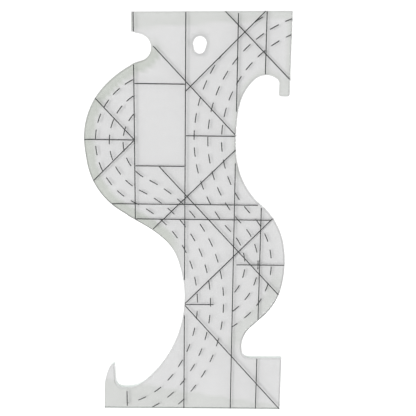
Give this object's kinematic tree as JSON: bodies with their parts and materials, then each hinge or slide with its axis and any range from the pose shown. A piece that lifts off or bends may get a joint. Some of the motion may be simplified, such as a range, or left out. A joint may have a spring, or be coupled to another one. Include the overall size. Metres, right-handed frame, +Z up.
{
  "type": "french curve",
  "caption": "Flat french curve of clear acrylic with long convex and concave edges, hooked ends, a hanging hole and a printed net of straight guide lines.",
  "frame": {"origin": "under the middle of the sheet's bounding box, on the face that it lies on", "axes": "+Z up through the thickness, +Y along the length towards the end with the hanging hole, +X towards the side of the notched foot"},
  "size_m": [0.1034, 0.2098, 0.0031],
  "materials": {
    "clear_acrylic": "clear, polished, faintly green at the cut edges",
    "black_ink": "printed line, satin"
  },
  "bodies": {
    "root": {"acrylic_sheet": "clear_acrylic", "vertical_line_left_tab": "black_ink", "vertical_line_left": "black_ink", "vertical_line_middle_upper": "black_ink", "vertical_line_middle_lower": "black_ink", "vertical_line_right_upper": "black_ink", "vertical_line_right_lower": "black_ink", "vertical_line_outer_top": "black_ink", "vertical_line_outer_lobe": "black_ink", "vertical_line_outer_foot": "black_ink", "vertical_line_hook": "black_ink", "horizontal_line_window_top": "black_ink", "horizontal_line_window_bottom": "black_ink", "horizontal_line_left_lobe": "black_ink", "horizontal_line_right_hollow": "black_ink", "horizontal_line_waist": "black_ink", "horizontal_line_below_waist": "black_ink", "horizontal_line_right_lobe": "black_ink", "horizontal_line_left_hollow": "black_ink", "falling_line_window": "black_ink", "falling_line_shoulder": "black_ink", "falling_line_left_lobe": "black_ink", "falling_line_waist": "black_ink", "falling_line_foot": "black_ink", "rising_line_shoulder": "black_ink", "rising_line_left_lobe": "black_ink", "rising_line_waist": "black_ink", "rising_line_right_lobe": "black_ink"}
  },
  "joints": []
}
